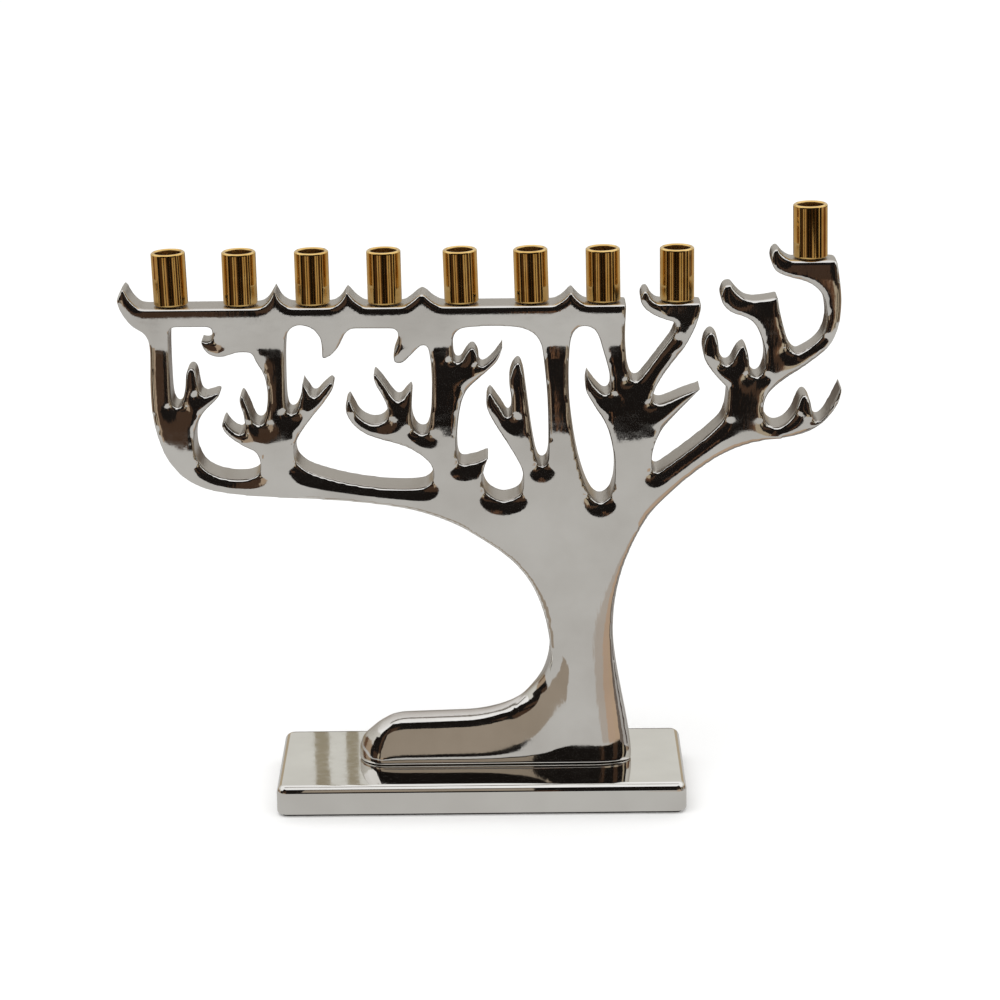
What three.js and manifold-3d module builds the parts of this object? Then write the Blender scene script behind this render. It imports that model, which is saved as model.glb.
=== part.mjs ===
// A tree-shaped menorah: one cast tree screwed to a flat base plate, with nine turned candle cups.
// Millimetres, +Z up, +X to the right of someone facing the menorah, +Y away from them.
// The origin is the centre of the face that it rests on, the underside of the felt pad.
import * as THREE from 'three';
import { mergeVertices } from 'three/addons/utils/BufferGeometryUtils.js';
import Module from 'manifold-3d';

const wasm = await Module();
wasm.setup();

// Overall sizes
const TREE_SPAN = 288;          // outermost thorn to outermost thorn
const SEAT_RISE = 192.5;        // base plate's top to the rail's flat seats
const RAIL_DEPTH = 16;          // front to back, at the rail
const TRUNK_DEPTH = 20;         // front to back, where the trunk enters the foot
const FOOT_DEPTH = 21;          // front to back, across the rounded foot

// Base plate and felt
const BASE_WIDTH = 166;
const BASE_DEPTH = 68;
const BASE_THICKNESS = 11.8;
const BASE_CORNER = 2.5;        // radius of its upright corners
const BASE_EDGE = 1.4;          // rounding of its top and bottom edges
const FELT_THICKNESS = 1;
const FELT_INSET = 2;           // from the base plate's edge

// Candle cups
const CUP_BORE = 10.5;          // takes a 10 mm candle
const CUP_WALL = 1.55;
const CUP_HEIGHT = 21.3;
const CUP_FLOOR = 3;
const CUP_CHAMFER = 0.5;        // on the rim and the foot, no more than a third of the wall
const CUP_SEAT_GAP = 0.3;       // under a cup, because each leans a little on its seat

// Cup screws, slotted cheese heads
const CUP_SCREW_DIAMETER = 4;
const CUP_SCREW_HEAD = 7;
const CUP_SCREW_HEAD_HEIGHT = 2.6;
const CUP_SCREW_ENGAGEMENT = 4.6;   // length in the rail
const CUP_SLOT_WIDTH = 1.1;
const CUP_SLOT_DEPTH = 1.1;

// Base screws, socket heads with spring washers
const BASE_SCREW_DIAMETER = 6;
const BASE_SCREW_HEAD = 10;
const BASE_SCREW_HEAD_HEIGHT = 6;
const BASE_SCREW_ENGAGEMENT = 11;   // length in the foot
const BASE_SOCKET_WIDTH = 5;        // across the hexagon's flats
const BASE_SOCKET_DEPTH = 3;
const WASHER_DIAMETER = 11.6;
const WASHER_THICKNESS = 1.6;

const CLEARANCE = 0.3;          // round every screw, and under every head in its recess

// The design grid of the tree is this wide, and its seats are this high.
const GRID_SPAN = 288;
const GRID_RISE = 192.5;
const gridX = x => x * TREE_SPAN / GRID_SPAN;
const gridZ = z => z * SEAT_RISE / GRID_RISE;

// Grid places of what stands on the tree: x, and lean to the right in degrees
const SEATS = [
  [-121.1, -1.6], [-93.5, -0.6], [-64.8, -0.5], [-36.2, -0.6],
  [-5.7, -1.4], [22.2, -1.4], [50.6, -0.7], [79.8, -0.2],
];
const SEAT_GRID_Z = GRID_RISE;
const SHAMASH_SEAT = [132.5, -0.9];
const SHAMASH_GRID_Z = 209.3;   // the helper candle stands higher than the eight
const BASE_SCREW_PLACES = { left: -28, right: 38 };

const BASE_TOP = FELT_THICKNESS + BASE_THICKNESS;

// Outlines on the design grid, x and z above the base plate. TIP marks a sharp thorn or corner,
// and the curve is smooth through every other point, with this many chords from point to point.
const TIP = true;
const OUTLINE_CHORDS = 3;

// Clockwise from the left horn of the rail
const TREE_OUTLINE = [
  [-139.3, 201.5, TIP], [-137, 196.7], [-133.5, 193], [-130, 192.5, TIP],
  [-86.5, 192.5, TIP], [-83, 194], [-79.5, 199.5, TIP], [-76.8, 194.6], [-73, 192.5, TIP],
  [-57.5, 192.5, TIP], [-54, 194.3], [-51, 199, TIP], [-47.7, 195], [-44, 192.5, TIP],
  [-28.5, 192.5, TIP], [-25, 195], [-21.3, 197.7], [-17.6, 194.7], [-14, 192.5, TIP],
  [31, 192.5, TIP], [34.5, 194.6], [37.6, 198, TIP], [40.6, 194.4], [43.4, 192.5, TIP],
  // end of the rail, the bay right of it and the hooked limb that carries the eighth cup
  [59.5, 192.5, TIP], [59, 180], [59.5, 170.5], [60.4, 165], [61.7, 161.6], [63.5, 161],
  [66, 163.5], [73.5, 173.5], [78, 179.8], [79.5, 184.8, TIP], [75, 186], [70, 188.2],
  [66.3, 191.2], [65, 194.5], [65.8, 197.2], [67.7, 198.4, TIP], [69.2, 194.8], [71.8, 192.5, TIP],
  [89.3, 192.5, TIP], [88.6, 188], [86.5, 182], [82.5, 174.5], [76, 166], [71.5, 159],
  // thorn below it, and the hollow down to the shamash limb
  [70, 154.5], [71.5, 151.7], [75.5, 152.5], [82, 155.3], [89, 157.8, TIP], [86, 154.5],
  [80, 148.5], [73.5, 141], [70.3, 133.5], [69.6, 127], [71.3, 123.6], [77.5, 127.5],
  [86, 134], [93, 140], [98.5, 146.5], [100, 157.5, TIP],
  // three thorns of the shamash limb
  [94.5, 163.5], [90.6, 169.5], [89.9, 175], [91.3, 179.3], [93.4, 181, TIP], [95.6, 178],
  [96.4, 172], [97.7, 168], [99.5, 166.9], [101.5, 168.8], [103.8, 173.5], [106.4, 175.3, TIP],
  [107.9, 171.5], [108.6, 165.5], [110.5, 162.1], [113.2, 163.6], [114.6, 169], [113.8, 176],
  [110.6, 183.6], [106.5, 186.7], [101.5, 188.4], [98, 191.4], [96.8, 195.3], [98, 199],
  [100.8, 200, TIP], [103.2, 196.8], [107, 193.7], [112, 193.3], [119.4, 194.5, TIP],
  // crook of the shamash limb, its horn and its seat
  [120.2, 189], [122.2, 181], [124.2, 175], [126.8, 171.6], [130, 172.8], [135, 176.3],
  [138.3, 182], [138.6, 189.5], [136.5, 196.2], [131.5, 200.4], [124, 202.6], [118.6, 205],
  [116.5, 209.5], [117.1, 212.8], [119, 214.5, TIP], [121, 211.6], [124.3, 209.3, TIP],
  [142.6, 209.3, TIP], [143.8, 201], [144.6, 192], [143.4, 182], [139.5, 174],
  [131, 167], [121.5, 160.7], [115.6, 155], [114.1, 149.5], [115.4, 144.3], [118.5, 141.7],
  // two outermost thorns, and the long underside back to the trunk
  [122.8, 143], [126.4, 147.7], [128.6, 153.6], [130.6, 155.2, TIP], [132.6, 152.6],
  [133.8, 147], [135.6, 143.7], [138.7, 146], [142.6, 153], [145.6, 160, TIP], [144.6, 153.5],
  [141.5, 147.3], [135, 141.2], [125, 137.7], [110, 135.5], [98, 131], [87, 123.6],
  [77, 115], [69, 106.5], [62.6, 95.5], [57.7, 83], [54.9, 70], [54, 57], [55, 44],
  [57.2, 30], [59.6, 17], [61.3, 6], [61.5, 0, TIP],
  // inside the foot, then up the trunk's left side and along the lowest branch
  [14, 0, TIP], [14, 24, TIP], [20.5, 30.6], [25.5, 37], [28.3, 46], [27.8, 56], [25, 68],
  [20, 79], [12.5, 88], [2, 96], [-10, 103], [-24, 108.3], [-40, 111.4], [-60, 113.5],
  [-85, 115], [-99, 116.4], [-110, 118.9], [-118.5, 124], [-125, 132.8], [-129, 146],
  [-130, 160], [-129.6, 176], [-131.4, 182], [-136, 185.2], [-139.8, 190], [-141.9, 196],
];

// The opening in the leftmost crown
const CROWN_OPENING = [
  [-104.8, 185, TIP], [-121, 185, TIP], [-122, 180], [-122, 160], [-121.2, 153.6],
  [-119.4, 151.8], [-117.6, 154.3], [-116.1, 160], [-115.6, 166], [-113.6, 168.5],
  [-111.6, 166], [-110.9, 160], [-109.3, 156.5], [-105.5, 157.3], [-101.2, 158.8, TIP],
  [-104, 155], [-109, 150.2], [-112, 144.5], [-113.2, 137], [-112, 131], [-108.5, 126],
  [-102, 123.1], [-94, 122.5], [-88.7, 123.9], [-87, 128], [-88.4, 133.3], [-94, 136.2],
  [-99.7, 140.3], [-102, 144], [-101.4, 147.6, TIP], [-98.6, 143.2], [-95, 141.1],
  [-92.9, 143.5], [-93.2, 149], [-94.9, 154.5], [-94, 157.8, TIP], [-91.5, 152.7],
  [-89.4, 146.6], [-87, 144.6], [-84.6, 148], [-83.4, 156.5], [-84.5, 164.5], [-87.5, 170],
  [-89.2, 174.2, TIP], [-95, 174.3], [-101, 172.6], [-106, 173.5], [-108.8, 176.6],
  [-109.2, 179, TIP], [-106, 178.6], [-104.6, 181.5],
];

// The opening under the third and fourth cups, with the long slot along the lowest branch
const LEFT_OPENING = [
  [-61.5, 171, TIP], [-58, 172.7], [-54.6, 176.5], [-52, 181.7], [-49.5, 183.7, TIP],
  [-31, 183.5, TIP], [-31.2, 178], [-33.1, 172.5], [-32.2, 169.2], [-29, 169.7], [-24.5, 174.2],
  [-21, 177], [-19, 174.5], [-18, 165], [-18.2, 153], [-19.2, 144], [-21.2, 140.2],
  [-24.8, 142.2], [-26.4, 148], [-25.6, 159.6, TIP], [-28.4, 156.8], [-31.3, 153.7],
  [-34.3, 156.8], [-37.5, 161.6], [-41.4, 166.4, TIP], [-40.6, 161.2], [-37.2, 155],
  [-35.5, 149.8], [-37.4, 145.8], [-42, 144.7], [-46.8, 147.2], [-49.6, 152], [-51.2, 155.8, TIP],
  [-52.6, 151.5], [-50.8, 146], [-45.5, 141], [-38, 138.1], [-29.5, 135.6], [-22, 131.2],
  [-18.2, 126.5], [-18.8, 120.4], [-24, 118.1], [-34, 118], [-46, 119.4], [-58, 122],
  [-68.5, 125.8], [-73.1, 131], [-72.4, 138], [-67.5, 145.7], [-60.7, 154], [-57, 160],
  [-58.2, 162, TIP], [-61.8, 158.9], [-65, 155.4], [-67.2, 158.6], [-69.4, 161.8, TIP],
  [-70.2, 156.3], [-72.2, 150.5], [-74.6, 149.1], [-76.2, 153], [-76.4, 165], [-75.8, 178.5],
  [-73.6, 184], [-69.5, 185.2], [-65, 183.8], [-62, 180], [-61.3, 175],
];

// The opening under the fifth and sixth cups
const MIDDLE_OPENING = [
  [16.8, 169.9, TIP], [14.2, 167], [12.8, 161.5], [13.6, 155], [13.5, 148.5], [12.2, 146.4],
  [9.6, 150.8], [4.9, 157.8, TIP], [3.5, 153], [5.3, 147.2], [10, 139.2], [15, 131],
  [18, 124], [17.4, 116], [13, 112.9], [7.5, 113], [3, 116.8], [1.8, 122], [3.2, 128],
  [5.2, 131.3, TIP], [0.5, 129], [-5, 127.8], [-7.6, 128.4], [-8.3, 135], [-7.8, 144],
  [-6.3, 153], [-3.5, 158.8], [3, 164.6], [8.3, 169.8], [10.9, 177, TIP], [7.3, 171.8],
  [3, 167.7], [0.6, 168.3], [0.7, 171.8], [-1.6, 175.6], [-4.4, 173], [-6.9, 168.9],
  [-9.1, 170.5], [-9.4, 178], [-8, 181.9], [-4, 183.7], [6, 184.1], [15.5, 183.7],
  [22, 181.5], [25.6, 176.7], [26.9, 168], [28, 155], [28.4, 140], [28, 129.5], [25.7, 126.5],
  [23.5, 129.5], [21.5, 140.5], [19.6, 156], [18.4, 165],
];

// The opening under the seventh cup
const RIGHT_OPENING = [
  [43.8, 164, TIP], [46.8, 159.6], [51, 155.4], [53, 157.2], [52.8, 164], [50.5, 172.8],
  [48, 180.8], [45, 183.4], [41, 183.5], [38, 180], [36.8, 172], [36.6, 158], [37.7, 144],
  [40, 129.5], [43.3, 118], [46.6, 112.4], [49.8, 111.4], [53, 114.2], [54.7, 121],
  [54.4, 131], [51.7, 142.8], [46.5, 151.4], [43.1, 158.3],
];

// The rounded foot runs from its left end to the trunk's right side, and rises into the trunk.
const FOOT_LEFT = -50.2;
const FOOT_RIGHT = 61.5;
const FOOT_RISE = 19.8;         // of its level part
const FOOT_END_RADIUS = 12;     // over its left end, seen from the front
const FOOT_NOSE = 9;            // length over which its left end is rounded, seen from above
const FOOT_SLOPE = 0.03;        // of the level part, up to the right
const TRUNK_FLARE = 30;         // length over which the top sweeps up into the trunk
const TRUNK_FLARE_RISE = 10.8;
const TRUNK_FLARE_START = -5;
const FOOT_RIGHT_LEAN = 0.15;   // the right end leans in with the trunk
const FOOT_WAIST = 0.25;        // height at which it is widest, as a share of its ridge's height

// Finishes
const casting = () => new THREE.MeshStandardMaterial({ color: 0xb4b0aa, metalness: 1, roughness: 0.2 });
const platework = () => new THREE.MeshStandardMaterial({ color: 0xbdbab5, metalness: 1, roughness: 0.28 });
const brass = () => new THREE.MeshStandardMaterial({ color: 0xc29a55, metalness: 1, roughness: 0.22 });
const steel = () => new THREE.MeshStandardMaterial({ color: 0x8d8f92, metalness: 1, roughness: 0.4 });
const felt = () => new THREE.MeshStandardMaterial({ color: 0x2b2a28, metalness: 0, roughness: 0.95 });

// A closed geometry as a solid that can be joined and cut
function solid(geometry) {
  const bare = geometry.clone();
  bare.deleteAttribute('normal');
  bare.deleteAttribute('uv');
  const merged = mergeVertices(bare, 1e-4);
  return new wasm.Manifold(new wasm.Mesh({
    numProp: 3,
    vertProperties: new Float32Array(merged.attributes.position.array),
    triVerts: new Uint32Array(merged.index.array),
  }));
}

// A solid as a named mesh
function mesh(name, material, body) {
  const { vertProperties, triVerts } = body.getMesh();
  const geometry = new THREE.BufferGeometry();
  geometry.setAttribute('position', new THREE.BufferAttribute(vertProperties, 3));
  geometry.setIndex(new THREE.BufferAttribute(triVerts, 1));
  geometry.computeVertexNormals();
  const result = new THREE.Mesh(geometry, material);
  result.name = name;
  return result;
}

// A solid turned about Z from its [radius, height] profile, which closes on itself
function turned(profile, sides) {
  const points = profile.map(([radius, height]) => new THREE.Vector2(radius, height));
  const geometry = new THREE.LatheGeometry([...points, points[0].clone()], sides);
  geometry.rotateX(Math.PI / 2);
  return solid(geometry);
}

// An upright round bar from one height to another
function bar(diameter, low, high, sides = 24) {
  const geometry = new THREE.CylinderGeometry(diameter / 2, diameter / 2, high - low, sides);
  geometry.rotateX(Math.PI / 2);
  geometry.translate(0, 0, (low + high) / 2);
  return solid(geometry);
}

// A closed shape through grid points, smooth between its tips; the first point is a tip
function outlined(points) {
  const place = ([x, z]) => new THREE.Vector2(gridX(x), gridZ(z));
  const path = new THREE.Path([place(points[0])]);
  let run = [];
  for (const point of [...points.slice(1), points[0]]) {
    run.push(place(point));
    if (point[2]) {
      if (run.length > 1) path.splineThru(run);
      else path.lineTo(run[0].x, run[0].y);
      run = [];
    }
  }
  const sampled = path.getPoints(OUTLINE_CHORDS);
  if (THREE.ShapeUtils.isClockWise(sampled)) sampled.reverse();
  return new THREE.Shape(sampled);
}

// Half the tree's depth at a height above the base: the rail's upwards, widening down to the foot
function halfDepth(z) {
  const rise = THREE.MathUtils.clamp(z / gridZ(150), 0, 1);
  return THREE.MathUtils.lerp(TRUNK_DEPTH, RAIL_DEPTH, rise) / 2;
}

// The pierced plate of trunk, branches, thorns and rail, above the base plate's top
function treePlate() {
  const openings = [CROWN_OPENING, LEFT_OPENING, MIDDLE_OPENING, RIGHT_OPENING];
  const shape = outlined(TREE_OUTLINE);
  shape.holes = openings.map(opening => outlined(opening));
  const geometry = new THREE.ExtrudeGeometry(shape, { depth: 2, bevelEnabled: false });
  geometry.translate(0, 0, -1);
  geometry.rotateX(Math.PI / 2);
  const position = geometry.attributes.position;
  for (let i = 0; i < position.count; i += 1) {
    position.setY(i, position.getY(i) * halfDepth(position.getZ(i)));
  }
  return solid(geometry);
}

// Height of the foot's ridge at a grid x
function footRidge(x) {
  const run = x - FOOT_LEFT;
  const inset = Math.max(FOOT_END_RADIUS - run, 0);
  const drop = FOOT_END_RADIUS - Math.sqrt(FOOT_END_RADIUS ** 2 - inset ** 2);
  const slope = FOOT_SLOPE * Math.max(run - FOOT_END_RADIUS, 0);
  const flare = THREE.MathUtils.clamp((x - TRUNK_FLARE_START) / TRUNK_FLARE, 0, 1);
  return FOOT_RISE - drop + slope + TRUNK_FLARE_RISE * flare ** 2;
}

// Share of the foot's depth at a grid x, rounding its left end
function footBreadth(x) {
  const inset = Math.max(FOOT_NOSE - (x - FOOT_LEFT), 0) / FOOT_NOSE;
  return Math.max(Math.sqrt(1 - inset ** 2), 0.35);
}

// The foot, a loaf with a half-round top, narrowing a little towards the base plate
function footLoaf() {
  const half = FOOT_DEPTH / 2;
  const section = new THREE.Shape();
  section.moveTo(half * 0.9, 0);
  section.lineTo(half, FOOT_WAIST / 2);
  section.absellipse(0, FOOT_WAIST, half, 1 - FOOT_WAIST, 0, Math.PI);
  section.lineTo(-half, FOOT_WAIST / 2);
  section.lineTo(-half * 0.9, 0);
  section.closePath();
  const options = { depth: 1, steps: 28, bevelEnabled: false, curveSegments: 7 };
  const geometry = new THREE.ExtrudeGeometry(section, options);
  const position = geometry.attributes.position;
  for (let i = 0; i < position.count; i += 1) {
    const along = position.getZ(i) ** 1.3;
    const x = THREE.MathUtils.lerp(FOOT_LEFT, FOOT_RIGHT, along);
    const z = position.getY(i) * footRidge(x);
    const lean = FOOT_RIGHT_LEAN * z * along ** 4;
    position.setXYZ(i, gridX(x - lean), position.getX(i) * footBreadth(x), gridZ(z));
  }
  return solid(geometry);
}

// Where a cup stands: the middle of its seat, turned by its lean
function seatFrame([x, lean], gridHeight) {
  const frame = new THREE.Object3D();
  frame.position.set(gridX(x), 0, gridZ(gridHeight));
  frame.rotation.y = THREE.MathUtils.degToRad(lean);
  frame.updateMatrix();
  return frame;
}

// What is machined away for a cup: a spot face square to the cup, and the hole for its screw
function seatCut(frame) {
  const depth = CUP_SCREW_ENGAGEMENT + CLEARANCE;
  const hole = bar(CUP_SCREW_DIAMETER + 2 * CLEARANCE, -depth, 1, 16);
  const spotFace = bar(CUP_BORE + 2 * CUP_WALL + 2 * CLEARANCE, 0, CUP_HEIGHT, 24);
  return hole.add(spotFace).transform(frame.matrix.elements);
}

function baseScrewHole(x) {
  const depth = BASE_SCREW_ENGAGEMENT + CLEARANCE;
  return bar(BASE_SCREW_DIAMETER + 2 * CLEARANCE, -1, depth).translate([x, 0, 0]);
}

function treeCasting(seatFrames) {
  let body = treePlate().add(footLoaf());
  for (const frame of seatFrames) body = body.subtract(seatCut(frame));
  for (const x of Object.values(BASE_SCREW_PLACES)) body = body.subtract(baseScrewHole(gridX(x)));
  const result = mesh('tree_casting', casting(), body);
  result.position.z = BASE_TOP;
  return result;
}

// A rectangle with rounded corners, centred
function roundedRectangle(width, depth, radius) {
  const shape = new THREE.Shape();
  const x = width / 2 - radius;
  const y = depth / 2 - radius;
  shape.absarc(x, y, radius, 0, Math.PI / 2);
  shape.absarc(-x, y, radius, Math.PI / 2, Math.PI);
  shape.absarc(-x, -y, radius, Math.PI, Math.PI * 1.5);
  shape.absarc(x, -y, radius, Math.PI * 1.5, Math.PI * 2);
  shape.closePath();
  return shape;
}

// Depth of the recess that holds a base screw's head and washer
const RECESS_DEPTH = BASE_SCREW_HEAD_HEIGHT + WASHER_THICKNESS + CLEARANCE;

function basePlate() {
  const geometry = new THREE.ExtrudeGeometry(roundedRectangle(BASE_WIDTH, BASE_DEPTH, BASE_CORNER), {
    depth: BASE_THICKNESS - 2 * BASE_EDGE,
    bevelThickness: BASE_EDGE,
    bevelSize: BASE_EDGE,
    bevelOffset: -BASE_EDGE,
    bevelSegments: 3,
    curveSegments: 4,
  });
  geometry.translate(0, 0, BASE_EDGE);
  let body = solid(geometry);
  for (const x of Object.values(BASE_SCREW_PLACES)) {
    const hole = bar(BASE_SCREW_DIAMETER + 2 * CLEARANCE, -1, BASE_THICKNESS + 1);
    const recess = bar(WASHER_DIAMETER + 2 * CLEARANCE, -1, RECESS_DEPTH);
    body = body.subtract(hole.add(recess).translate([gridX(x), 0, 0]));
  }
  const result = mesh('base_plate', platework(), body);
  result.position.z = FELT_THICKNESS;
  return result;
}

function feltPad() {
  const outline = roundedRectangle(BASE_WIDTH - 2 * FELT_INSET, BASE_DEPTH - 2 * FELT_INSET, BASE_CORNER);
  const options = { depth: FELT_THICKNESS, bevelEnabled: false, curveSegments: 3 };
  return mesh('felt_pad', felt(), solid(new THREE.ExtrudeGeometry(outline, options)));
}

// A spring washer, as a flat ring cut across at one side
function baseWasher(side) {
  const inner = BASE_SCREW_DIAMETER / 2 + CLEARANCE;
  const outer = WASHER_DIAMETER / 2;
  const profile = [[inner, 0], [outer, 0], [outer, WASHER_THICKNESS], [inner, WASHER_THICKNESS]];
  const split = new THREE.BoxGeometry(outer, 2 * CLEARANCE, 4 * WASHER_THICKNESS);
  split.translate(outer, 0, 0);
  return mesh(`base_washer_${side}`, steel(), turned(profile, 24).subtract(solid(split)));
}

// A socket screw, head down, with the head's bearing face at zero
function baseScrew(side) {
  const head = BASE_SCREW_HEAD / 2;
  const shank = BASE_SCREW_DIAMETER / 2;
  const web = BASE_THICKNESS - RECESS_DEPTH;
  const top = WASHER_THICKNESS + web + BASE_SCREW_ENGAGEMENT;
  const edge = BASE_SCREW_HEAD_HEIGHT / 12;
  const profile = [
    [0, -BASE_SCREW_HEAD_HEIGHT], [head - edge, -BASE_SCREW_HEAD_HEIGHT],
    [head, edge - BASE_SCREW_HEAD_HEIGHT], [head, 0], [shank, 0], [shank, top - 2 * edge],
    [shank - 2 * edge, top], [0, top],
  ];
  const across = BASE_SOCKET_WIDTH / Math.sqrt(3) * 2;
  const low = -BASE_SCREW_HEAD_HEIGHT - 1;
  const socket = bar(across, low, BASE_SOCKET_DEPTH - BASE_SCREW_HEAD_HEIGHT, 6);
  return mesh(`base_screw_${side}`, steel(), turned(profile, 20).subtract(socket));
}

function candleCup(name) {
  const bore = CUP_BORE / 2;
  const outer = bore + CUP_WALL;
  const chamfer = Math.min(CUP_CHAMFER, CUP_WALL / 3);
  const hole = CUP_SCREW_DIAMETER / 2 + CLEARANCE;
  const profile = [
    [hole, 0], [outer - chamfer, 0], [outer, chamfer], [outer, CUP_HEIGHT - chamfer],
    [outer - chamfer, CUP_HEIGHT], [bore + chamfer, CUP_HEIGHT], [bore, CUP_HEIGHT - chamfer],
    [bore, CUP_FLOOR], [hole, CUP_FLOOR],
  ];
  return mesh(name, brass(), turned(profile, 24));
}

// A slotted screw whose head bears on the cup's floor
function cupScrew(name) {
  const head = CUP_SCREW_HEAD / 2;
  const shank = CUP_SCREW_DIAMETER / 2;
  const tip = -(CUP_FLOOR + CUP_SEAT_GAP + CUP_SCREW_ENGAGEMENT);
  const edge = CUP_SCREW_HEAD_HEIGHT / 6;
  const profile = [
    [0, tip], [shank - edge, tip], [shank, tip + edge], [shank, 0], [head, 0],
    [head, CUP_SCREW_HEAD_HEIGHT - edge], [head - edge, CUP_SCREW_HEAD_HEIGHT],
    [0, CUP_SCREW_HEAD_HEIGHT],
  ];
  const slot = new THREE.BoxGeometry(2 * CUP_SCREW_HEAD, CUP_SLOT_WIDTH, 2 * CUP_SLOT_DEPTH);
  slot.translate(0, 0, CUP_SCREW_HEAD_HEIGHT);
  return mesh(name, steel(), turned(profile, 16).subtract(solid(slot)));
}

// A cup with its screw, standing on its seat
function cupOnSeat(frame, cupName, screwName) {
  const cup = candleCup(cupName);
  cup.position.z = CUP_SEAT_GAP;
  const screw = cupScrew(screwName);
  screw.position.z = CUP_SEAT_GAP + CUP_FLOOR;
  frame.add(cup, screw);
}

const menorah = new THREE.Group();
const seatFrames = SEATS.map(seat => seatFrame(seat, SEAT_GRID_Z));
const shamashFrame = seatFrame(SHAMASH_SEAT, SHAMASH_GRID_Z);
menorah.add(feltPad(), basePlate(), treeCasting([...seatFrames, shamashFrame]));

for (const [side, x] of Object.entries(BASE_SCREW_PLACES)) {
  const washer = baseWasher(side);
  const screw = baseScrew(side);
  washer.position.set(gridX(x), 0, FELT_THICKNESS + RECESS_DEPTH - WASHER_THICKNESS);
  screw.position.set(gridX(x), 0, FELT_THICKNESS + RECESS_DEPTH - WASHER_THICKNESS);
  menorah.add(washer, screw);
}

seatFrames.forEach((frame, index) => {
  cupOnSeat(frame, `candle_cup_${index + 1}`, `cup_screw_${index + 1}`);
});
cupOnSeat(shamashFrame, 'shamash_cup', 'shamash_cup_screw');
for (const frame of [...seatFrames, shamashFrame]) {
  frame.position.z += BASE_TOP;
  menorah.add(frame);
}

export default menorah;
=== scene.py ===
import math

import bmesh
import bpy
from mathutils import Matrix, Vector
from mathutils.bvhtree import BVHTree
from mathutils.kdtree import KDTree


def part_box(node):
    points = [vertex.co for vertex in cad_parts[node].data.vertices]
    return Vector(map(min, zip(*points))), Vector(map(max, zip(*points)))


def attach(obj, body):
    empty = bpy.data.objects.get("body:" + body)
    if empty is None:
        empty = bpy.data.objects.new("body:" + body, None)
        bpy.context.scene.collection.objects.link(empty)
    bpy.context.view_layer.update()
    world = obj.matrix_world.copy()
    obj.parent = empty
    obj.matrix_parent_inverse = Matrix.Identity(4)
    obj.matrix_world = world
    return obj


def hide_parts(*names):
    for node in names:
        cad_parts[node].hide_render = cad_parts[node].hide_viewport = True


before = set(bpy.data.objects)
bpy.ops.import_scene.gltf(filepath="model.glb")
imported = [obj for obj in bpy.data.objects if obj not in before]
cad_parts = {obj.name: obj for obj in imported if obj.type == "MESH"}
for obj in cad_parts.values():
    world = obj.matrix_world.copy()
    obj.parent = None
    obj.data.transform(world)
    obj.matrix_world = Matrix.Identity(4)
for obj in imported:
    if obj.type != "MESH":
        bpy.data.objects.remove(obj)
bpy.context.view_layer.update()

# ---------------------------------------------------------------------------------------------
# The camera stands 1.3 m in front of the menorah and half a metre above what it stands on, and
# looks down on it by about 17 degrees.
CAMERA_PLACE = (0.01266, -1.318, 0.515)
CAMERA_PITCH = math.radians(16.556)
CAMERA_YAW = math.radians(0.174)
CAMERA_ROLL = math.radians(-0.630)
CAMERA_LENS = 122.55

camera = bpy.data.cameras.new("camera")
camera.lens = CAMERA_LENS
camera.sensor_width = 36
camera_object = bpy.data.objects.new("camera", camera)
turn = Matrix.Rotation(CAMERA_YAW, 4, "Z")
turn = turn @ Matrix.Rotation(math.pi / 2 - CAMERA_PITCH, 4, "X")
turn = turn @ Matrix.Rotation(CAMERA_ROLL, 4, "Z")
camera_object.matrix_world = Matrix.Translation(CAMERA_PLACE) @ turn
bpy.context.scene.collection.objects.link(camera_object)
bpy.context.scene.camera = camera_object

# ---------------------------------------------------------------------------------------------
# The studio: a pale floor under an even white sky, and one broad soft light from above and
# in front. Colours are shown as they are lit.
FLOOR_HALF = 6.0
SKY_STRENGTH = 1.04
SOFTBOX_SIZE = (1.6, 1.2)
SOFTBOX_POWER = 9
SOFTBOX_PLACE = (-0.5, -0.7, 1.9)
SOFTBOX_AIM = (0, 0, 0.1)

bpy.context.scene.view_settings.view_transform = "Standard"


def keep_mesh(name, bm):
    """Turns a finished bmesh into an object at the origin."""
    mesh = bpy.data.meshes.new(name)
    bm.to_mesh(mesh)
    bm.free()
    piece = bpy.data.objects.new(name, mesh)
    bpy.context.scene.collection.objects.link(piece)
    return piece


def shader(name):
    """A new material with its node tree cleared down to a Principled shader and its output."""
    material = bpy.data.materials.new(name)
    material.use_nodes = True
    nodes = material.node_tree.nodes
    return material, nodes, material.node_tree.links, nodes["Principled BSDF"]


def glow(name, colour):
    """A card's finish: an even glow, seen only in reflections."""
    material = bpy.data.materials.new(name)
    material.use_nodes = True
    nodes = material.node_tree.nodes
    nodes.clear()
    emission = nodes.new("ShaderNodeEmission")
    emission.inputs["Color"].default_value = (*colour, 1)
    output = nodes.new("ShaderNodeOutputMaterial")
    material.node_tree.links.new(emission.outputs["Emission"], output.inputs["Surface"])
    return material


def only_reflected(card):
    """Keeps a card out of sight, out of the light and out of the shadows."""
    card.visible_camera = False
    card.visible_diffuse = False
    card.visible_shadow = False
    card.visible_transmission = False
    card.visible_volume_scatter = False


floor_mesh = bmesh.new()
bmesh.ops.create_grid(floor_mesh, x_segments=1, y_segments=1, size=FLOOR_HALF)
floor = keep_mesh("floor", floor_mesh)
floor_finish, nodes, links, principled = shader("pale_floor")
principled.inputs["Base Color"].default_value = (0.97, 0.97, 0.965, 1)
principled.inputs["Roughness"].default_value = 0.9
principled.inputs["Specular IOR Level"].default_value = 0.0
floor.data.materials.append(floor_finish)
floor.visible_glossy = False

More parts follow.
